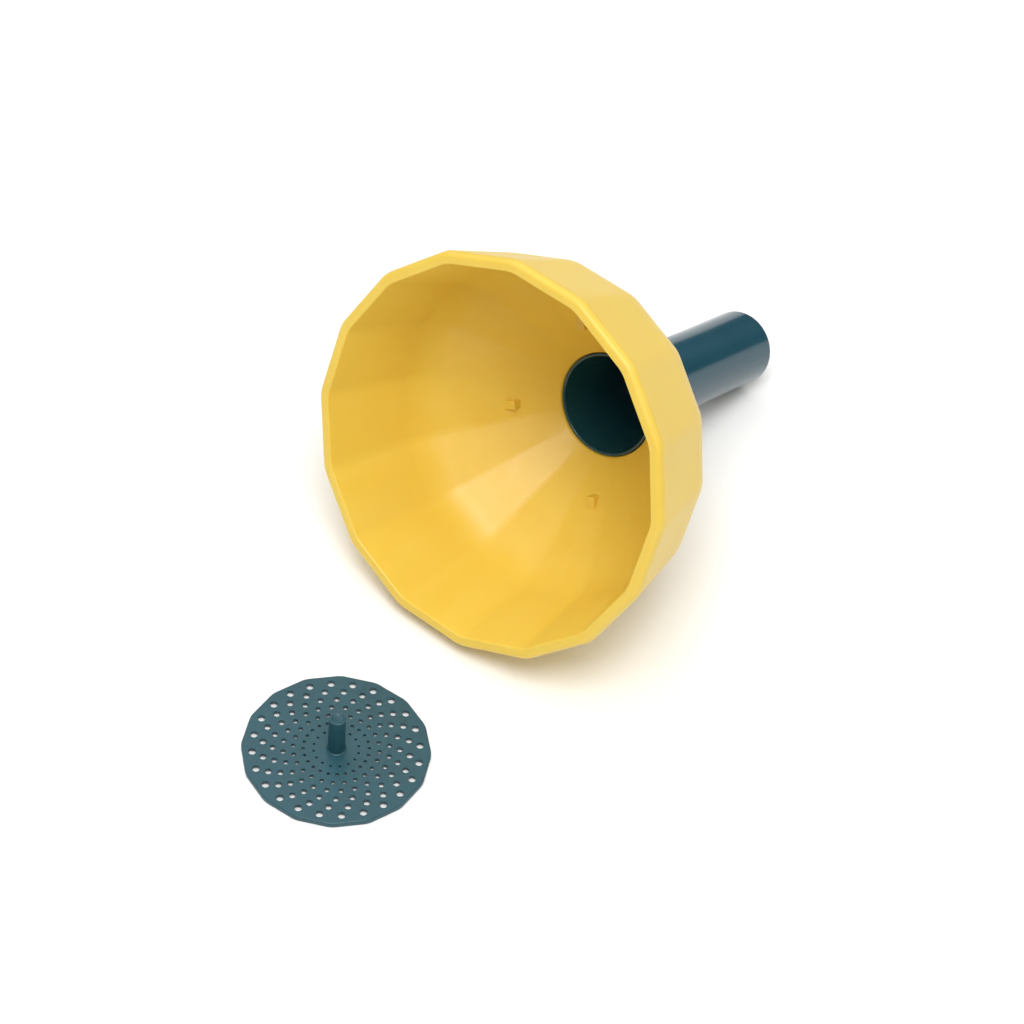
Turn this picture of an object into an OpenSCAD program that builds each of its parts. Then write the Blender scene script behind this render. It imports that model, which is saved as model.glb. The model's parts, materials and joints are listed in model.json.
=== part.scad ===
// Kitchen funnel with a drop-in spout and a separate strainer disc.
// The bowl lies on one flat of its shoulder and on the spout's tip; the disc lies in front of the mouth.
// Lengths are in millimetres. +Z is up, and +Y runs from the mouth towards the spout's tip.

/* [Bowl] */
// Width of the mouth across its corners
mouth_w = 130; // [124:1:140]
// Depth from the mouth to the throat, along the funnel's axis
bowl_depth = 68; // [64:1:74]
// Depth of the shoulder where the side wall turns into the cone
shoulder_depth = 38.5; // [34:0.5:42]
// Inside width across the corners at the shoulder
shoulder_w = 106.4; // [102:0.2:108]
// Wall thickness, square to the cone
wall = 3.1; // [2.6:0.1:3.4]
// Width of the lip's rounded face
lip_w = 3.8; // [3.4:0.1:4.2]

/* [Throat and neck] */
// Inside radius of the throat, where the spout's head sits
throat_r = 17.5; // [17:0.1:18]
// Thickness of the neck's wall
neck_wall = 3; // [2.4:0.1:3.6]
// Length of the neck's conical seat for the spout's head
seat_len = 18; // [14:0.5:20]
// Length of the straight guide at the neck's end
guide_len = 3; // [2:0.5:4]

/* [Spout] */
// Distance from the mouth to the spout's tip, along the axis
tip_depth = 151; // [140:1:165]
// Outside radius of the straight end of the spout
tip_r = 12.5; // [11:0.1:13]
// Outside radius of the spout just under its conical head
root_r = 13.35; // [13.1:0.05:13.5]
// Wall thickness of the head at its rim
head_wall = 1; // [0.8:0.1:1.4]
// Wall thickness of the tube
tube_wall = 1.6; // [1.2:0.1:2]
// Length of the straight end
straight_len = 30; // [20:1:40]
// Gap between the spout's head and the neck's seat
head_gap = 0.3; // [0.2:0.05:0.4]

/* [Strainer] */
// Width of the disc across its corners
disc_w = 58.6; // [56:0.2:59]
// Thickness of the disc at its rim
disc_t = 1.8; // [1.6:0.1:2.2]
// Thickness of the disc's perforated web
web_t = 1; // [0.8:0.1:1.2]
// Radius of the innermost ring of holes
first_ring_r = 7; // [6:0.1:8]
// Step from one ring of holes to the next
ring_step = 3.13; // [3:0.01:3.2]
// Diameter of the smallest holes
hole_small = 0.9; // [0.8:0.05:1.2]
// Diameter of the largest holes
hole_large = 2.55; // [2.2:0.05:2.6]
// Turn of each ring of holes against the one inside it, in degrees
ring_twist = 9.5; // [0:0.5:15]
// Radius of the knob's foot
knob_foot_r = 2.9; // [2.7:0.1:3.2]
// Radius of the knob near its top
knob_top_r = 2.55; // [2.4:0.05:2.7]
// Height of the knob above the disc
knob_h = 14.5; // [12:0.5:18]

/* [Place of the strainer] */
// Sideways distance of the disc from the funnel's axis
disc_x = 9.4; // [0:0.1:20]
// Distance of the disc's centre in front of the mouth's centre
disc_ahead = 76.5; // [74:0.1:90]
// Turn of the disc on the surface, in degrees
disc_turn = 16; // [0:0.5:22]

/* [Hidden] */

$fn = 96;
sides = 16;
step = 360 / sides;
flat_ratio = cos(step / 2);

// How far a cutting shape runs past the surface that it cuts
cut = 1;

bowl_yellow = "#F2C94B";
deep_teal = "#2F5F70";

// Side wall and cone, as radius at the corners against depth
lip_r = mouth_w / 2;
lip_drop = 3.2;
inner_lip_r = lip_r - lip_w;
shoulder_r = shoulder_w / 2;
throat_corner_r = throat_r / flat_ratio;
cone_slope = (shoulder_r - throat_corner_r) / (bowl_depth - shoulder_depth);
cone_offset = wall * sqrt(1 + cone_slope * cone_slope);
neck_r = throat_r + neck_wall;
neck_corner_r = neck_r / flat_ratio;
outer_shoulder_drop = 1.5;
outer_shoulder_depth = shoulder_depth + outer_shoulder_drop;
outer_shoulder_r = shoulder_r + cone_offset - cone_slope * outer_shoulder_drop;
cone_foot_depth = shoulder_depth + (shoulder_r + cone_offset - neck_corner_r) / cone_slope;
shoulder_blend = 6;
blend_steps = 4;

// Neck: a conical seat and a straight guide
guide_start = bowl_depth + seat_len;
neck_end = guide_start + guide_len;
guide_r = root_r + head_gap;

// Spout, from its head to its tip
head_drop = 0.2;
head_top = bowl_depth + head_drop;
head_r = throat_r - head_gap;
head_bore_r = head_r - head_wall;
inlet_r = root_r - tube_wall;
inlet_past = 2;
inlet_depth = guide_start + inlet_past;
straight_start = tip_depth - straight_len;
tip_bore_r = tip_r - tube_wall;
edge_round = 0.4;

// Four lugs in the cone that carry the strainer's rim, close to the middles of flats
disc_r = disc_w / 2;
lug_count = 4;
lug_angle = 65.5;
lug_w = 3;
lug_top_depth = 55.9;
lug_overlap = 1.14;
lug_r = disc_r * flat_ratio - lug_overlap;
lug_root = 1;

// Holes in the strainer
ring_count = 7;
inner_holes = 16;
outer_holes = 24;
inner_phase = step / 2;
outer_phase = 2;
socket_r = 1.5;
socket_depth = 1;

// Rim and boss that carry the strainer's web
rim_w = 1.1;
boss_r = 4;

// Foot, rounded top and dimple of the knob
foot_h = 0.4;
foot_step = 0.15;
knob_round = 0.5;
dimple_r = 0.8;
dimple_depth = 0.35;

// Rest pose: one flat of the shoulder and the spout's tip both touch the surface
tip_touch = tip_depth - edge_round;
tilt = max([for (p = shoulder_outside()) atan2(p[0] * flat_ratio - tip_r, tip_touch - p[1])]);
rest_h = tip_r * cos(tilt) + tip_touch * sin(tilt);
front_y = -disc_ahead - disc_r * max([for (k = [0:sides - 1]) cos(disc_turn + k * step + 90)]);
back_y = tip_depth * cos(tilt) + (tip_r - edge_round) * sin(tilt);
mid_y = (front_y + back_y) / 2;

// Points on a quadratic curve from a to c that is pulled towards b
function curve(a, b, c, n) = [
    for (i = [0:n])
        let (t = i / n)
            a * pow(1 - t, 2) + b * 2 * t * (1 - t) + c * pow(t, 2)
];

// A point on the line from a towards b, a given distance from a
function toward(a, b, d) = a + (b - a) * d / norm(b - a);

// The corners of one sixteen-sided ring, from [corner radius, depth]
function ring(p) = [
    for (k = [0:sides - 1])
        let (a = (k + 0.5) * step)
            [p[0] * cos(a), p[0] * sin(a), p[1]]
];

// Rounded outside of the shoulder, from the cone round to the side wall
function shoulder_outside() =
    let (
        foot = [neck_corner_r, cone_foot_depth],
        corner = [outer_shoulder_r, outer_shoulder_depth],
        lip_out = [lip_r, lip_drop]
    )
    curve(toward(corner, foot, shoulder_blend), corner,
          toward(corner, lip_out, shoulder_blend), blend_steps);

// Closed outline of the bowl's wall: lip, inside, throat, outside
function bowl_outline() =
    let (
        lip_in = [inner_lip_r, 0.3],
        shoulder_in = [shoulder_r, shoulder_depth],
        throat = [throat_corner_r, bowl_depth]
    )
    concat(
        [[inner_lip_r + 0.4, 0], lip_in],
        curve(toward(shoulder_in, lip_in, shoulder_blend), shoulder_in,
              toward(shoulder_in, throat, shoulder_blend), blend_steps),
        [throat, [throat_corner_r, cone_foot_depth], [neck_corner_r, cone_foot_depth]],
        shoulder_outside(),
        curve([lip_r, lip_drop], [lip_r, 0.6], [inner_lip_r + 1.6, 0], blend_steps)
    );

// A closed sixteen-sided ring body with the given outline
module sided_ring(outline) {
    n = len(outline);
    points = [for (p = outline) each ring(p)];
    faces = [
        for (i = [0:n - 1], k = [0:sides - 1])
            let (
                j = (i + 1) % n,
                m = (k + 1) % sides
            )
            [i * sides + k, i * sides + m, j * sides + m, j * sides + k]
    ];
    polyhedron(points = points, faces = faces, convexity = 8);
}

// Puts a shape drawn along its own +Z axis onto the funnel's axis at rest
module on_funnel_axis() {
    translate([0, -mid_y, rest_h])
        rotate([-90 - tilt, 0, 0])
            children();
}

// Puts a shape drawn about its own centre onto the surface in front of the mouth
module on_surface() {
    translate([disc_x, -disc_ahead - mid_y, 0])
        rotate([0, 0, disc_turn])
            children();
}

// One lug: a flat top for the strainer's rim and a face that runs down to the cone's wall
module lug() {
    wall_r = (shoulder_r - cone_slope * (lug_top_depth - shoulder_depth)) * flat_ratio;
    reach = wall_r + lug_root - lug_r;
    rotate([90, 0, 0])
        linear_extrude(height = lug_w, center = true)
            polygon([
                [lug_r, lug_top_depth],
                [lug_r + reach, lug_top_depth],
                [lug_r, lug_top_depth + reach / (cone_slope * flat_ratio)]
            ]);
}

// Outside of the neck, as a solid of revolution
module neck() {
    guide_outer_r = guide_r + neck_wall;
    rotate_extrude()
        polygon([
            [0, bowl_depth], [neck_r, bowl_depth], [neck_r, cone_foot_depth],
            [guide_outer_r, guide_start], [guide_outer_r, neck_end], [0, neck_end]
        ]);
}

// Space inside the neck: the throat, the conical seat and the guide
module neck_bore() {
    rotate_extrude()
        polygon([
            [0, bowl_depth - cut], [throat_r, bowl_depth - cut], [throat_r, bowl_depth],
            [guide_r, guide_start], [guide_r, neck_end + cut], [0, neck_end + cut]
        ]);
}

// Sixteen-sided bowl with its lugs and the round neck that holds the spout
module bowl() {
    color(bowl_yellow)
        on_funnel_axis()
            difference() {
                union() {
                    sided_ring(bowl_outline());
                    for (i = [0:lug_count - 1])
                        rotate([0, 0, lug_angle + i * 360 / lug_count])
                            lug();
                    neck();
                }
                neck_bore();
            }
}

// Tube with a conical head that drops into the neck from inside the bowl
module spout() {
    outline = [
        [head_bore_r, head_top + edge_round],
        [head_bore_r + edge_round, head_top],
        [head_r - edge_round, head_top],
        [head_r, head_top + edge_round],
        [root_r, guide_start],
        [tip_r, straight_start],
        [tip_r, tip_depth - edge_round],
        [tip_r - edge_round, tip_depth],
        [tip_bore_r, tip_depth],
        [tip_bore_r, straight_start],
        [inlet_r, inlet_depth]
    ];
    color(deep_teal)
        on_funnel_axis()
            rotate_extrude()
                polygon(outline);
}

// Radius, hole count, first angle and hole diameter of each ring of holes
function ring_r(k) = first_ring_r + k * ring_step;
function ring_holes(k) = k == 0 ? inner_holes : outer_holes;
function ring_phase(k) = k == 0 ? inner_phase : outer_phase + k * ring_twist;
function hole_d(k) = hole_small + (hole_large - hole_small) * k / (ring_count - 1);

// Sixteen-sided outline of the strainer, with a given radius at the corners
module disc_outline(r) {
    polygon([for (k = [0:sides - 1]) r * [cos(k * step), sin(k * step)]]);
}

// Sixteen-sided disc with seven twisted rings of holes and a socket for the knob
module strainer_plate() {
    color(deep_teal)
        on_surface()
            difference() {
                linear_extrude(height = disc_t)
                    difference() {
                        disc_outline(disc_r);
                        for (k = [0:ring_count - 1], i = [0:ring_holes(k) - 1])
                            rotate(ring_phase(k) + i * 360 / ring_holes(k))
                                translate([ring_r(k), 0])
                                    circle(d = hole_d(k), $fn = 24);
                    }
                translate([0, 0, disc_t - socket_depth])
                    cylinder(r = socket_r, h = socket_depth + cut);
                translate([0, 0, -cut])
                    linear_extrude(height = disc_t - web_t + cut)
                        difference() {
                            disc_outline(disc_r - rim_w / flat_ratio);
                            circle(r = boss_r);
                        }
            }
}

// Tapered peg with a rounded top, a small dimple and a spigot that plugs into the disc
module strainer_knob() {
    top = disc_t + knob_h;
    outline = [
        [0, disc_t - socket_depth],
        [socket_r, disc_t - socket_depth],
        [socket_r, disc_t],
        [knob_foot_r, disc_t],
        [knob_foot_r, disc_t + foot_h],
        [knob_foot_r - foot_step, disc_t + 2 * foot_h],
        [knob_top_r, top - knob_round],
        [knob_top_r - 0.3 * knob_round, top - 0.3 * knob_round],
        [knob_top_r - knob_round, top],
        [dimple_r, top],
        [dimple_r - 0.3, top - dimple_depth],
        [0, top - dimple_depth]
    ];
    color(deep_teal)
        on_surface()
            rotate_extrude()
                polygon(outline);
}

bowl();
spout();
strainer_plate();
strainer_knob();
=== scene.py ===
import json
from math import atan2, cos, hypot, pi, radians, sin

import bmesh
import bpy
from mathutils import Matrix, Vector


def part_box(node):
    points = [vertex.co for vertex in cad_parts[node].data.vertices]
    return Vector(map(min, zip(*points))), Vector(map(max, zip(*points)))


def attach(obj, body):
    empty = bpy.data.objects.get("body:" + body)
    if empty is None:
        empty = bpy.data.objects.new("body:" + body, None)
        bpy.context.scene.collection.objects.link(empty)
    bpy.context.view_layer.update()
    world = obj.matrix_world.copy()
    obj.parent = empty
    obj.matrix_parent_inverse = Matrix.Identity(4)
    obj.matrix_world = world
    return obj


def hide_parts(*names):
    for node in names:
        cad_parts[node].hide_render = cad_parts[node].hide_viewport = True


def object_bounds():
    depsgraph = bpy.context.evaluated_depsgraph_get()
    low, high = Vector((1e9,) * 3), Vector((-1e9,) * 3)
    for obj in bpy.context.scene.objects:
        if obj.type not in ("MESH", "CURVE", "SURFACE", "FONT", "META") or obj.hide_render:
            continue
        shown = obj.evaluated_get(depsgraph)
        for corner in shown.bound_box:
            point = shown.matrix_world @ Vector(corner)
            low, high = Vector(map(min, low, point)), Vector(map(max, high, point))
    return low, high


# A kitchen funnel with a drop-in spout and a loose strainer disc, laid out on a pale table.
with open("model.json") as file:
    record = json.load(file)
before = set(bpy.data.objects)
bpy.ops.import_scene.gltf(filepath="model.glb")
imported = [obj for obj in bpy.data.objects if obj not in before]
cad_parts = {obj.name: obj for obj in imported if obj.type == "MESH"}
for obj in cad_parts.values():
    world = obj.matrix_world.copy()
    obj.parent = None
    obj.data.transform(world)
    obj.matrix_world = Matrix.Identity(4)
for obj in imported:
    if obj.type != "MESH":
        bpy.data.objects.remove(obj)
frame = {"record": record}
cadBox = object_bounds()
mm = 0.001
sides = 16
flatRatio = cos(pi / sides)  # radius at the middle of a flat over radius at a corner


def mountNamed(name):
    return next(m for m in frame["record"]["mounts"] if m["name"] == name)


# The funnel's own frame: depth runs from the mouth's plane to the spout's tip.
funnel = {
    "tipDepth": 151.0,
    "straightLength": 30.0,  # the mount sits at the middle of this stretch
}
tubeMount = mountNamed("spout_outside")
funnelAxis = Vector(tubeMount["axis"]).normalized()
tubeMiddle = funnel["tipDepth"] - funnel["straightLength"] / 2
mouthCentre = Vector(tubeMount["pos_m"]) - funnelAxis * tubeMiddle * mm
funnelTilt = atan2(-funnelAxis.z, funnelAxis.y)
funnelPlace = {"location": mouthCentre, "turn": (-pi / 2 - funnelTilt, 0, 0)}

discCorner = 16.0  # turn of the disc on the table, degrees
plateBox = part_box("strainer_plate")
platePlace = {"location": Vector(mountNamed("strainer_base")["pos_m"]), "turn": (0, 0, radians(discCorner))}


# Camera: across the table from the front right, looking down into the mouth.
camera = {
    "lens": 119.94,
    "heading": 35.39,    # degrees round from the funnel's axis
    "elevation": 47.25,
    "roll": 5.52,
    "distance": 1.0592,
    "aim": (0.0095, -0.0160, -0.0171),  # from the middle of the CAD box
}


def placeCamera():
    bpy.ops.object.select_all(action="DESELECT")
    bpy.ops.object.camera_add()
    made = bpy.context.object
    made.name = "mainCamera"
    turn = (Matrix.Rotation(radians(camera["heading"]), 3, "Z")
            @ Matrix.Rotation(pi / 2 - radians(camera["elevation"]), 3, "X")
            @ Matrix.Rotation(radians(camera["roll"]), 3, "Z"))
    aim = (cadBox[0] + cadBox[1]) / 2 + Vector(camera["aim"])
    made.location = aim + turn @ Vector((0, 0, camera["distance"]))
    made.rotation_euler = turn.to_euler()
    made.data.lens = camera["lens"]
    made.data.sensor_width = 36
    bpy.context.scene.camera = made


placeCamera()
print("camera placed")


# Modelling helpers. Radii and depths are in millimetres, and each ring lies square to local Z.
def pickOnly(piece):
    if bpy.context.object and bpy.context.object.mode != "OBJECT":
        bpy.ops.object.mode_set(mode="OBJECT")
    bpy.ops.object.select_all(action="DESELECT")
    if piece:
        piece.select_set(True)
        bpy.context.view_layer.objects.active = piece


def startRing(name, corners, radius, depth, turn=0.0):
    pickOnly(None)
    bpy.ops.mesh.primitive_circle_add(vertices=corners, radius=radius * mm, fill_type="NGON",
                                      location=(0, 0, depth * mm), rotation=(0, 0, turn))
    piece = bpy.context.object
    piece.name = name
    bpy.ops.object.transform_apply(location=True, rotation=True, scale=True)
    bpy.ops.object.mode_set(mode="EDIT")
    bpy.ops.mesh.select_mode(type="VERT")
    bpy.ops.mesh.select_all(action="SELECT")
    return piece


def choose(piece, kind, wanted):
    bpy.ops.mesh.select_mode(type=kind)
    bpy.ops.mesh.select_all(action="DESELECT")
    mesh = bmesh.from_edit_mesh(piece.data)
    for part in {"VERT": mesh.verts, "EDGE": mesh.edges, "FACE": mesh.faces}[kind]:
        if wanted(part):
            part.select_set(True)
    mesh.select_flush(True)
    bmesh.update_edit_mesh(piece.data)


def roundCorners(piece, reach, cuts):
    bpy.ops.mesh.bevel(offset=reach * mm, offset_type="OFFSET", segments=cuts, affect="VERTICES")
    choose(piece, "EDGE", lambda edge: edge.calc_length() > 1.2 * reach * mm)
    bpy.ops.mesh.subdivide(number_cuts=cuts + 1)  # odd, so that each flat has a point at its middle
    bpy.ops.mesh.select_mode(type="VERT")
    bpy.ops.mesh.select_all(action="SELECT")


def ringNow(piece):
    spots = [v.co for v in bmesh.from_edit_mesh(piece.data).verts if v.select]
    return min(hypot(s.x, s.y) for s in spots) / mm, spots[0].z / mm


def extrudeRings(piece, stations):
    for radius, depth, *roundness in stations:
        rise = depth - ringNow(piece)[1]
        bpy.ops.mesh.extrude_region_move(TRANSFORM_OT_translate={"value": (0, 0, rise * mm)})
        if roundness:
            bpy.ops.transform.tosphere(value=roundness[0])
        growth = radius / ringNow(piece)[0]
        bpy.ops.transform.resize(value=(growth, growth, 1), center_override=(0, 0, depth * mm))


def finishMesh(piece, merge=False):
    bpy.ops.mesh.select_all(action="SELECT")
    if merge:
        bpy.ops.mesh.remove_doubles(threshold=0.01 * mm)
    bpy.ops.mesh.normals_make_consistent(inside=False)
    bpy.ops.object.mode_set(mode="OBJECT")
    return piece


def bend(start, corner, end, cuts):
    spots = []
    for i in range(cuts + 1):
        t = i / cuts
        spots.append(tuple(a * (1 - t) ** 2 + b * 2 * t * (1 - t) + c * t * t
                           for a, b, c in zip(start, corner, end)))
    return spots


def towards(start, end, reach):
    length = hypot(end[0] - start[0], end[1] - start[1])
    return tuple(a + (b - a) * reach / length for a, b in zip(start, end))


def rounded(before, corner, after, reach, cuts=3):
    return bend(towards(corner, before, reach), corner, towards(corner, after, reach), cuts)


def putInPlace(piece, place):
    pickOnly(piece)
    piece.location = place["location"]
    piece.rotation_euler = place["turn"]
    bpy.ops.object.transform_apply(location=True, rotation=True, scale=True)


def smoothOff(piece, angle):
    pickOnly(piece)
    bpy.ops.object.shade_smooth_by_angle(angle=radians(angle))
    bpy.ops.object.modifier_add(type="WEIGHTED_NORMAL")  # flats stay flat between their soft edges
    piece.modifiers[-1].keep_sharp = True
    bpy.ops.object.modifier_apply(modifier=piece.modifiers[-1].name)


# Bowl: sixteen flats with soft corners, turning round at the throat and neck.
bowl = {
    "lipRadius": (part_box("bowl")[1].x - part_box("bowl")[0].x) / 2 / mm / flatRatio,  # at the corners
    "lipWidth": 3.8,
    "lipDrop": 2.8,
    "shoulderRadius": 53.2,
    "shoulderDepth": 38.5,
    "shoulderBlend": 8.0,
    "wall": 3.1,
    "throatRadius": 17.5,
    "throatDepth": 68.0,
    "neckWall": 3.0,
    "seatLength": 18.0,
    "guideLength": 3.0,
    "guideBore": 13.65,
    "cornerReach": 1.9,   # how far a soft corner runs along each flat at the lip
    "cornerCuts": 4,
    "roundingFrom": 61.0,  # depth where the flats start to turn into the round throat
    "edgeRound": 0.5,
}


def bowlOutlines():
    lip, shoulder = bowl["lipRadius"], bowl["shoulderRadius"]
    throat = bowl["throatRadius"] / flatRatio
    slope = (shoulder - throat) / (bowl["throatDepth"] - bowl["shoulderDepth"])
    offset = bowl["wall"] * hypot(1, slope)
    neck = bowl["throatRadius"] + bowl["neckWall"]
    footDepth = bowl["shoulderDepth"] + (shoulder + offset - neck / flatRatio) / slope
    outerDrop = 1.5
    innerLip = (lip - bowl["lipWidth"], 0.3)
    innerShoulder = (shoulder, bowl["shoulderDepth"])
    throatEdge = (throat, bowl["throatDepth"])
    outerShoulder = (shoulder + offset - slope * outerDrop, bowl["shoulderDepth"] + outerDrop)
    outerFoot = (neck / flatRatio, footDepth)
    outerLip = (lip, bowl["lipDrop"])
    topEdge = (innerLip[0] + bowl["edgeRound"], 0)
    inside = bend(topEdge, (innerLip[0], 0), towards(innerLip, innerShoulder, bowl["edgeRound"]), 3)
    inside += rounded(innerLip, innerShoulder, throatEdge, bowl["shoulderBlend"], 8)
    outside = bend((lip - 1.8, 0), (lip, 0.1), outerLip, 8)
    outside += rounded(outerLip, outerShoulder, outerFoot, bowl["shoulderBlend"], 8)
    return topEdge, inside[1:], outside, throatEdge, outerFoot, slope


def flats(spots, roundness=()):
    return [(radius * flatRatio, depth, *roundness) for radius, depth in spots]


def makeBowl():
    topEdge, inside, outside, throatEdge, outerFoot, slope = bowlOutlines()
    cuts, edge = bowl["cornerCuts"], bowl["edgeRound"]
    piece = startRing("bowlShell", sides, topEdge[0], topEdge[1], turn=pi / sides)
    roundCorners(piece, bowl["cornerReach"], cuts)
    bpy.ops.mesh.delete(type="ONLY_FACE")
    bpy.ops.mesh.select_all(action="SELECT")
    # inside wall, cone, conical seat, guide and neck
    extrudeRings(piece, flats(inside))
    roundingSteps = 5
    for i in range(roundingSteps):
        t = i / roundingSteps
        depth = bowl["roundingFrom"] + (bowl["throatDepth"] - 0.6 - bowl["roundingFrom"]) * t
        extrudeRings(piece, flats([(throatEdge[0] + slope * (bowl["throatDepth"] - depth), depth)], (t ** 1.5,)))
    throat, neck = bowl["throatRadius"], bowl["throatRadius"] + bowl["neckWall"]
    bore, top = bowl["guideBore"], bowl["throatDepth"]
    guide, end = top + bowl["seatLength"], top + bowl["seatLength"] + bowl["guideLength"]
    outer = bore + bowl["neckWall"]
    cone = (throat + slope * flatRatio, top - 1)
    foot = (neck, outerFoot[1])
    drop = 1.6 / (guide - foot[1])
    join = (neck + (outer - neck) * drop, foot[1] + 1.6)
    neckLine = rounded(cone, (throat, top), (bore, guide), edge)
    neckLine += rounded((throat, top), (bore, guide), (bore, end), 0.8)
    neckLine += rounded((bore, guide), (bore, end), (outer, end), 0.3)
    neckLine += rounded((bore, end), (outer, end), (outer, guide), edge)
    neckLine += rounded((outer, end), (outer, guide), foot, 0.8) + [join]
    extrudeRings(piece, [(radius, depth, 1) for radius, depth in neckLine])
    # outside, from the lip down to where the cone meets the neck
    choose(piece, "VERT", lambda v: abs(v.co.z) < 1e-6 and v.is_boundary)
    extrudeRings(piece, flats(outside))
    shoulderOut = outside[-1]
    for i in range(1, roundingSteps + 1):
        t = 0.8 + 0.15 * i / roundingSteps
        spot = tuple(a + (b - a) * t for a, b in zip(shoulderOut, outerFoot))
        extrudeRings(piece, flats([spot], ((i / roundingSteps) ** 1.5,)))
    coneEnd = (foot[0] + slope * flatRatio, foot[1] - 1)
    outerLine = rounded(coneEnd, foot, join, 1.2, 4) + [join]
    extrudeRings(piece, [(radius, depth, 1) for radius, depth in outerLine])
    return finishMesh(piece, merge=True), slope


# Lugs: four small blocks in the cone, each with a flat top that carries the strainer's rim.
lugs = {
    "count": 4,
    "firstTurn": 65.5,   # degrees round the axis
    "topDepth": 55.9,
    "innerRadius": 27.6,
    "width": 3.0,
    "root": 1.0,         # sunk into the wall
    "edgeRound": 0.35,
}


def makeLugs(slope):
    wallRadius = bowl["throatRadius"] + slope * flatRatio * (bowl["throatDepth"] - lugs["topDepth"])
    reach = wallRadius + lugs["root"] - lugs["innerRadius"]
    drop = reach / (slope * flatRatio)
    pickOnly(None)
    bpy.ops.mesh.primitive_cube_add(size=1)
    lug = bpy.context.object
    lug.name = "lugs"
    lug.scale = (reach * mm, lugs["width"] * mm, drop * mm)
    lug.location = ((lugs["innerRadius"] + reach / 2) * mm, 0, (lugs["topDepth"] + drop / 2) * mm)
    bpy.ops.object.transform_apply(location=True, rotation=True, scale=True)
    bpy.ops.object.mode_set(mode="EDIT")
    middle = (lugs["topDepth"] + drop / 2) * mm
    choose(lug, "FACE", lambda f: f.calc_center_median().z > middle and abs(f.normal.z) > 0.9)
    # the deep face is drawn in until the back lies along the wall
    bpy.ops.transform.resize(value=(0.12, 1, 1), center_override=(lugs["innerRadius"] * mm, 0, 0))
    bpy.ops.mesh.select_all(action="SELECT")
    bpy.ops.mesh.bevel(offset=lugs["edgeRound"] * mm, segments=3, affect="EDGES")
    finishMesh(lug)
    lug.rotation_euler = (0, 0, radians(lugs["firstTurn"]))
    bpy.ops.object.transform_apply(location=True, rotation=True, scale=True)
    copies = [lug]
    for i in range(1, lugs["count"]):
        pickOnly(lug)
        bpy.ops.object.duplicate()
        copy = bpy.context.object
        copy.rotation_euler = (0, 0, 2 * pi * i / lugs["count"])
        bpy.ops.object.transform_apply(location=True, rotation=True, scale=True)
        copies.append(copy)
    return joinAll(copies)


def joinAll(copies):
    pickOnly(copies[0])
    for copy in copies:
        copy.select_set(True)
    bpy.ops.object.join()
    return bpy.context.object


def cutWith(piece, tool, operation):
    pickOnly(piece)
    bpy.ops.object.modifier_add(type="BOOLEAN")
    change = piece.modifiers[-1]
    change.operation = operation
    change.solver = "EXACT"
    change.object = tool
    bpy.ops.object.modifier_apply(modifier=change.name)
    pickOnly(tool)
    bpy.ops.object.delete()


bowlShell, coneSlope = makeBowl()
cutWith(bowlShell, makeLugs(coneSlope), "UNION")
putInPlace(bowlShell, funnelPlace)
smoothOff(bowlShell, 40)
print("bowl modelled,", len(bowlShell.data.polygons), "faces")


# Spout: one turned wall, from its head to its tip and back through the bore.
spout = {
    "headRadius": 17.2,
    "headTop": 68.2,
    "headWall": 1.0,
    "rootRadius": 13.35,
    "tipRadius": 12.5,
    "wall": 1.6,
    "edgeRound": 0.45,
    "tipRound": 0.9,
    "points": 96,
}


def makeSpout():
    head, top = spout["headRadius"], spout["headTop"]
    mouth, root, tip = head - spout["headWall"], spout["rootRadius"], spout["tipRadius"]
    end, straight = funnel["tipDepth"], funnel["tipDepth"] - funnel["straightLength"]
    coneEnd = bowl["throatDepth"] + bowl["seatLength"]
    inlet, bore, soft = root - spout["wall"], tip - spout["wall"], spout["edgeRound"]
    inletDepth = coneEnd + 2
    outline = rounded((inlet, inletDepth), (mouth, top), (head, top), soft)
    outline += rounded((mouth, top), (head, top), (root, coneEnd), soft)
    outline += rounded((head, top), (root, coneEnd), (tip, straight), 2.0, 4)
    outline += [(tip, straight)]
    outline += rounded((tip, straight), (tip, end), (bore, end), spout["tipRound"], 5)
    outline += rounded((tip, end), (bore, end), (bore, straight), 0.35)
    outline += rounded((bore, end), (bore, straight), (inlet, inletDepth), 4, 4)
    outline += rounded((bore, straight), (inlet, inletDepth), (mouth, top), 5, 6)
    piece = startRing("spoutTube", spout["points"], *outline[0])
    bpy.ops.mesh.delete(type="ONLY_FACE")
    bpy.ops.mesh.select_all(action="SELECT")
    growth = outline[0][0] / ringNow(piece)[0]
    bpy.ops.transform.resize(value=(growth, growth, 1))
    extrudeRings(piece, outline[1:] + outline[:1])
    return finishMesh(piece, merge=True)


spoutTube = makeSpout()
putInPlace(spoutTube, funnelPlace)
smoothOff(spoutTube, 50)
print("spout modelled,", len(spoutTube.data.polygons), "faces")


# Strainer disc: a sixteen-sided plate with twisted rings of holes, each with a softened edge.
disc = {
    "radius": 29.3,
    "thickness": (plateBox[1].z - plateBox[0].z) / mm,
    "web": 1.0,           # thickness where the holes are
    "rimWidth": 1.1,
    "bossRadius": 4.0,
    "cornerReach": 1.3,
    "topRound": 0.5,
    "underRound": 0.3,
    "firstRing": 7.0,
    "ringStep": 3.13,
    "rings": 7,
    "innerHoles": 16,
    "outerHoles": 24,
    "smallHole": 0.8,
    "largeHole": 2.4,
    "innerTurn": 11.25,   # degrees
    "outerTurn": 2.0,
    "twist": 9.5,
    "holeSides": 20,
    "holeChamfer": 0.08,
    "socketRadius": 1.52,
    "socketDepth": 1.0,
}


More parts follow.
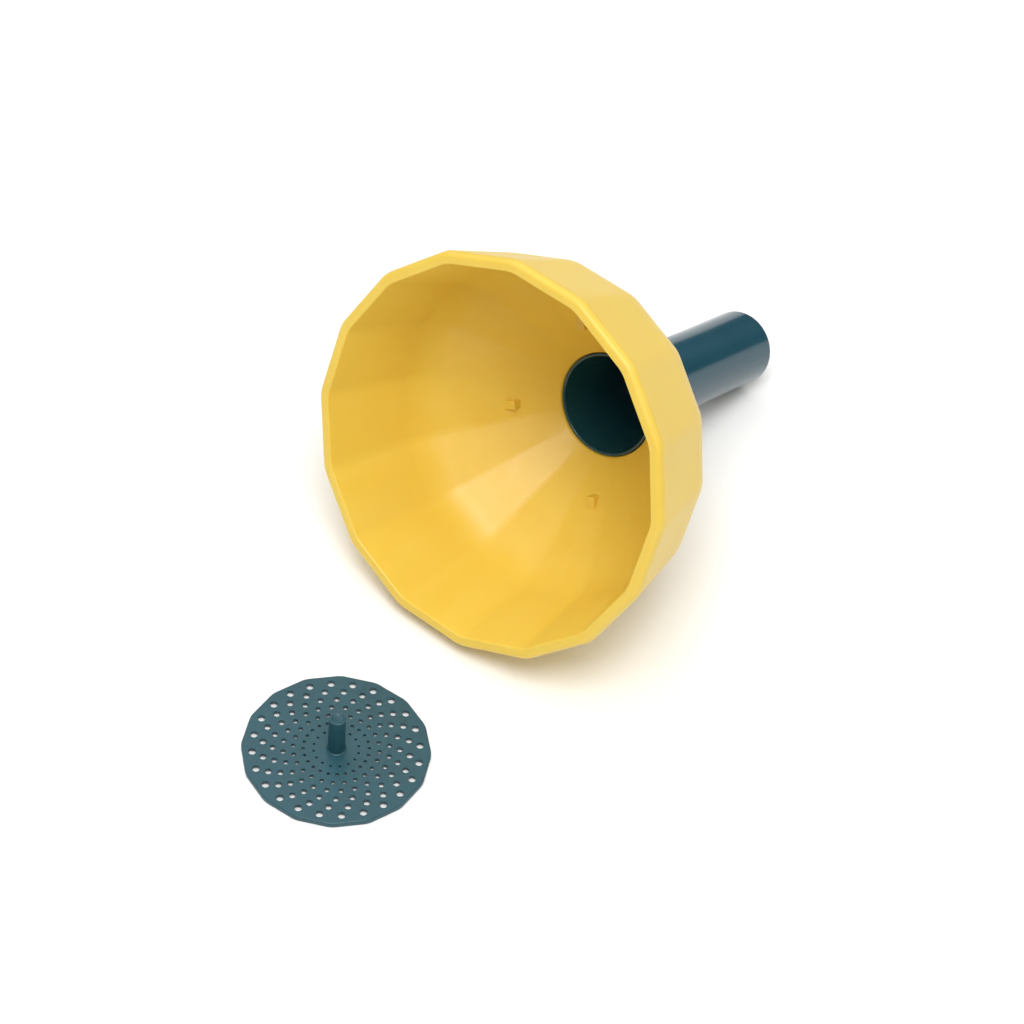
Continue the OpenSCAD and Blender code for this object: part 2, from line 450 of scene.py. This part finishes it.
def makePlate():
    thick = disc["thickness"]
    piece = startRing("strainerDisc", sides, disc["radius"], 0)
    roundCorners(piece, disc["cornerReach"], 4)
    bpy.ops.mesh.extrude_region_move(TRANSFORM_OT_translate={"value": (0, 0, thick * mm)})
    bpy.ops.mesh.select_all(action="SELECT")
    bpy.ops.mesh.normals_make_consistent(inside=False)
    for depth, reach in ((thick, disc["topRound"]), (0, disc["underRound"])):
        choose(piece, "EDGE", lambda edge: all(abs(v.co.z - depth * mm) < 1e-6 for v in edge.verts))
        bpy.ops.mesh.bevel(offset=reach * mm, segments=4, affect="EDGES")
    # the underside is sunk inside the rim
    choose(piece, "FACE", lambda face: face.normal.z < -0.99 and face.calc_area() > (10 * mm) ** 2)
    bpy.ops.mesh.inset(thickness=(disc["rimWidth"] - disc["underRound"]) * mm, use_boundary=True)
    bpy.ops.mesh.extrude_region_move(TRANSFORM_OT_translate={"value": (0, 0, (thick - disc["web"]) * mm)})
    bpy.ops.object.mode_set(mode="OBJECT")
    return piece


def makeBoss():
    boss = startRing("boss", 48, disc["bossRadius"], 0)
    extrudeRings(boss, [(disc["bossRadius"], disc["thickness"] - disc["web"] / 2)])
    return finishMesh(boss)


def makeHoleTool(radius):
    soft, top = disc["holeChamfer"], disc["thickness"]
    under = top - disc["web"]
    tool = startRing("holeTool", disc["holeSides"], radius + 2 * soft, under - soft)
    extrudeRings(tool, [(radius, under + soft), (radius, top - soft), (radius + 2 * soft, top + soft)])
    return finishMesh(tool)


def makeHoleTools():
    tools = []
    for ring in range(disc["rings"]):
        share = ring / (disc["rings"] - 1)
        width = disc["smallHole"] + (disc["largeHole"] - disc["smallHole"]) * share
        count = disc["outerHoles"] if ring else disc["innerHoles"]
        turn = radians(disc["outerTurn"] + ring * disc["twist"] if ring else disc["innerTurn"])
        first = makeHoleTool(width / 2)
        reach = (disc["firstRing"] + ring * disc["ringStep"]) * mm
        for i in range(count):
            tool = first
            if i:
                pickOnly(first)
                bpy.ops.object.duplicate()
                tool = bpy.context.object
            angle = turn + 2 * pi * i / count
            tool.location = (reach * cos(angle), reach * sin(angle), 0)
            tools.append(tool)
    return joinAll(tools)


def makeSocketTool():
    top = disc["thickness"]
    tool = startRing("socketTool", 32, disc["socketRadius"], top - disc["socketDepth"])
    extrudeRings(tool, [(disc["socketRadius"], top + 1)])
    return finishMesh(tool)


strainerDisc = makePlate()
cutWith(strainerDisc, makeBoss(), "UNION")
cutWith(strainerDisc, makeHoleTools(), "DIFFERENCE")
cutWith(strainerDisc, makeSocketTool(), "DIFFERENCE")
putInPlace(strainerDisc, platePlace)
smoothOff(strainerDisc, 50)
print("strainer disc modelled,", len(strainerDisc.data.polygons), "faces")


# Knob: a tapered peg with a small foot fillet, a raised rim and a gate mark in its top.
knob = {
    "spigotRadius": 1.5,
    "footRadius": 2.9,
    "footBead": 0.28,
    "topRadius": 2.55,
    "height": 14.5,
    "rimRound": 0.45,
    "rimWidth": 0.4,
    "dish": 0.3,
    "gateRadius": 0.7,
    "points": 48,
}


def makeKnob():
    base = disc["thickness"]
    top = base + knob["height"]
    foot, head, soft = knob["footRadius"], knob["topRadius"], knob["rimRound"]
    dishRadius, dishDepth = head - soft - knob["rimWidth"], top - knob["dish"]
    gate = knob["gateRadius"]
    bead = knob["footBead"]
    outline = [(knob["spigotRadius"], base - 0.01), (foot + bead, base)]
    outline += bend((foot + bead, base + 0.05), (foot + bead * 0.9, base + bead), (foot, base + bead * 1.3), 4)
    outline += bend((foot - 0.1, base + bead * 1.5), (foot - 0.18, base + bead * 2), (foot - 0.18, base + 1.8), 3)
    outline += rounded((foot - 0.18, base + 1.8), (head, top), (dishRadius, top), soft, 5)
    outline += rounded((head, top), (dishRadius + 0.15, top), (dishRadius, dishDepth), 0.12, 2)
    outline += [(dishRadius - 0.1, dishDepth), (gate + 0.2, dishDepth)]
    outline += bend((gate, dishDepth), (gate * 0.75, dishDepth - 0.3), (0.08, dishDepth - 0.3), 5)
    piece = startRing("strainerKnob", knob["points"], knob["spigotRadius"], base - disc["socketDepth"])
    extrudeRings(piece, outline)
    return finishMesh(piece)


strainerKnob = makeKnob()
putInPlace(strainerKnob, platePlace)
smoothOff(strainerKnob, 50)
print("knob modelled,", len(strainerKnob.data.polygons), "faces")


# Materials
def linear(code):
    parts = [int(code[i:i + 2], 16) / 255 for i in (1, 3, 5)]
    return tuple(p / 12.92 if p <= 0.04045 else ((p + 0.055) / 1.055) ** 2.4 for p in parts) + (1.0,)


def newMaterial(name):
    made = bpy.data.materials.new(name)
    made.use_nodes = True
    made.node_tree.nodes.clear()
    return made


def addNode(material, kind, inputs=None, **settings):
    made = material.node_tree.nodes.new(kind)
    for key, value in settings.items():
        setattr(made, key, value)
    for socket, value in (inputs or {}).items():
        if isinstance(value, bpy.types.NodeSocket):
            material.node_tree.links.new(value, made.inputs[socket])
        else:
            made.inputs[socket].default_value = value
    return made


def perMetre(size):
    return 1 / (size * mm)  # noise scale for a feature of this many millimetres


def mouldedPlastic(name, look, place):
    made = newMaterial(name)
    spot = addNode(made, "ShaderNodeTexCoord").outputs["Object"]
    along = addNode(made, "ShaderNodeMapping", {"Vector": spot, "Location": place["location"],
                                                "Rotation": place["turn"]}, vector_type="TEXTURE").outputs[0]
    stretched = addNode(made, "ShaderNodeMapping", {"Vector": along, "Scale": (1, 1, look["flowStretch"])}).outputs[0]
    cloud = addNode(made, "ShaderNodeTexNoise", {"Vector": spot, "Scale": perMetre(look["cloudSize"]), "Detail": 3})
    flow = addNode(made, "ShaderNodeTexNoise", {"Vector": stretched, "Scale": perMetre(look["flowWidth"]),
                                                "Detail": 4, "Roughness": 0.55})
    grain = addNode(made, "ShaderNodeTexNoise", {"Vector": spot, "Scale": perMetre(look["grainSize"]), "Detail": 2})
    tint = addNode(made, "ShaderNodeMapRange", {"Value": cloud.outputs["Fac"], "From Min": 0.3, "From Max": 0.7})
    colour = addNode(made, "ShaderNodeMix", {0: tint.outputs[0], 6: linear(look["shade"]), 7: linear(look["tone"])},
                     data_type="RGBA")
    streak = addNode(made, "ShaderNodeMapRange", {"Value": flow.outputs["Fac"], "From Min": 0.35, "From Max": 0.75,
                                                  "To Max": look["flowTint"]})
    streaked = addNode(made, "ShaderNodeMix", {0: streak.outputs[0], 6: colour.outputs[2],
                                               7: linear(look["flowTone"])}, data_type="RGBA")
    sheen = addNode(made, "ShaderNodeMapRange", {"Value": flow.outputs["Fac"], "From Min": 0.3, "From Max": 0.7,
                                                 "To Min": look["rough"][0], "To Max": look["rough"][1]})
    fine = addNode(made, "ShaderNodeBump", {"Height": grain.outputs["Fac"], "Strength": look["grainBump"],
                                            "Distance": 0.02 * mm})
    wavy = addNode(made, "ShaderNodeBump", {"Height": flow.outputs["Fac"], "Strength": look["flowBump"],
                                            "Distance": 0.1 * mm, "Normal": fine.outputs[0]})
    surface = addNode(made, "ShaderNodeBsdfPrincipled", {
        "Base Color": streaked.outputs[2], "Roughness": sheen.outputs[0], "Normal": wavy.outputs[0],
        "IOR": look["ior"], "Subsurface Weight": look["glow"], "Subsurface Radius": look["glowReach"],
        "Subsurface Scale": 1.0})
    addNode(made, "ShaderNodeOutputMaterial", {"Surface": surface.outputs[0]})
    return made


# Polypropylene, injection moulded in a lightly polished tool: a warm, slightly translucent yellow
# with a soft gloss, faint flow streaks from the gate and a skin that is barely uneven.
mouldedPolypropylene = mouldedPlastic("mouldedPolypropylene", {
    "tone": "#E9C74F", "shade": "#E6C24A", "flowTone": "#EDCF63", "flowTint": 0.25,
    "cloudSize": 30, "flowWidth": 7, "flowStretch": 0.12, "flowBump": 0.12,
    "grainSize": 0.7, "grainBump": 0.15, "rough": (0.36, 0.44), "ior": 1.49,
    "glow": 0.12, "glowReach": (2.0 * mm, 1.1 * mm, 0.3 * mm)}, funnelPlace)

# ABS, injection moulded in a mirror-polished tool: deep teal with clean, bright reflections
# that waver a little where the wall shrank as it cooled.
polishedAbs = mouldedPlastic("polishedAbs", {
    "tone": "#1C4756", "shade": "#18414F", "flowTone": "#265867", "flowTint": 0.2,
    "cloudSize": 25, "flowWidth": 9, "flowStretch": 0.15, "flowBump": 0.05,
    "grainSize": 0.6, "grainBump": 0.04, "rough": (0.1, 0.16), "ior": 1.54,
    "glow": 0.0, "glowReach": (mm, mm, mm)}, funnelPlace)

# ABS, injection moulded in a sparked tool: the same teal with a satin skin that scatters the
# light, so it looks paler, with a fine mottle.
satinAbs = mouldedPlastic("satinAbs", {
    "tone": "#194B57", "shade": "#154550", "flowTone": "#28606C", "flowTint": 0.3,
    "cloudSize": 12, "flowWidth": 3, "flowStretch": 1.0, "flowBump": 0.1,
    "grainSize": 0.45, "grainBump": 0.35, "rough": (0.34, 0.46), "ior": 1.54,
    "glow": 0.0, "glowReach": (mm, mm, mm)}, platePlace)


def finishPiece(piece, material, body, node):
    piece.data.materials.clear()
    piece.data.materials.append(material)
    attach(piece, body)
    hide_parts(node)


finishPiece(bowlShell, mouldedPolypropylene, "funnel_bowl", "bowl")
finishPiece(spoutTube, polishedAbs, "spout_tube", "spout")
finishPiece(strainerDisc, satinAbs, "strainer", "strainer_plate")
finishPiece(strainerKnob, satinAbs, "strainer", "strainer_knob")
print("materials done")


# Table and light
studio = {
    "tableSize": 6.0,
    "tableTone": "#FAFAF9",
    "horizon": ("#5E6264", 0.16),  # tone, and how high it reaches as the sine of the elevation
    "zenith": ("#FFFFFF", 0.5),
    "skyStrength": 0.66,
    "lamps": {
        # name: where it stands, its width, its watts
        "keyLamp": ((0.36, -0.5, 1.55), 0.8, 18),
        "leftLamp": ((-0.9, 0.3, 1.4), 1.2, 5),
        "backLamp": ((0.8, 0.9, 1.2), 1.2, 1.5),
    },
}


# The sky is dim near the horizon, so that glossy walls show a dark band between table and light.
def makeSky():
    world = bpy.data.worlds.new("studioSky")
    world.use_nodes = True
    world.node_tree.nodes.clear()
    direction = addNode(world, "ShaderNodeTexCoord").outputs["Generated"]
    height = addNode(world, "ShaderNodeSeparateXYZ", {0: direction}).outputs["Z"]
    ramp = addNode(world, "ShaderNodeValToRGB", {0: height})
    for stop, (tone, reach) in zip(ramp.color_ramp.elements, (studio["horizon"], studio["zenith"])):
        stop.position = reach
        stop.color = linear(tone)
    glow = addNode(world, "ShaderNodeBackground", {"Color": ramp.outputs[0], "Strength": studio["skyStrength"]})
    addNode(world, "ShaderNodeOutputWorld", {"Surface": glow.outputs[0]})
    bpy.context.scene.world = world


def makeStudio():
    pickOnly(None)
    bpy.ops.mesh.primitive_plane_add(size=studio["tableSize"])
    table = bpy.context.object
    table.name = "tableTop"
    bpy.ops.object.mode_set(mode="EDIT")
    bpy.ops.mesh.subdivide(number_cuts=8)
    bpy.ops.object.mode_set(mode="OBJECT")
    # Melamine board: an even, matt white that only shows the soft contact shadows.
    melamine = newMaterial("mattMelamine")
    spot = addNode(melamine, "ShaderNodeTexCoord").outputs["Object"]
    cloud = addNode(melamine, "ShaderNodeTexNoise", {"Vector": spot, "Scale": perMetre(300)})
    rough = addNode(melamine, "ShaderNodeMapRange", {"Value": cloud.outputs["Fac"], "To Min": 0.55, "To Max": 0.65})
    surface = addNode(melamine, "ShaderNodeBsdfPrincipled", {"Base Color": linear(studio["tableTone"]),
                                                             "Roughness": rough.outputs[0]})
    addNode(melamine, "ShaderNodeOutputMaterial", {"Surface": surface.outputs[0]})
    table.data.materials.append(melamine)
    makeSky()
    for name, (spot, width, watts) in studio["lamps"].items():
        pickOnly(None)
        bpy.ops.object.light_add(type="AREA", location=spot)
        lamp = bpy.context.object
        lamp.name = name
        lamp.data.shape = "SQUARE"
        lamp.data.size = width
        lamp.data.energy = watts
        lamp.rotation_euler = (-Vector(spot)).to_track_quat("-Z", "Y").to_euler()
    bpy.context.scene.view_settings.view_transform = "Standard"


makeStudio()
print("studio lit")
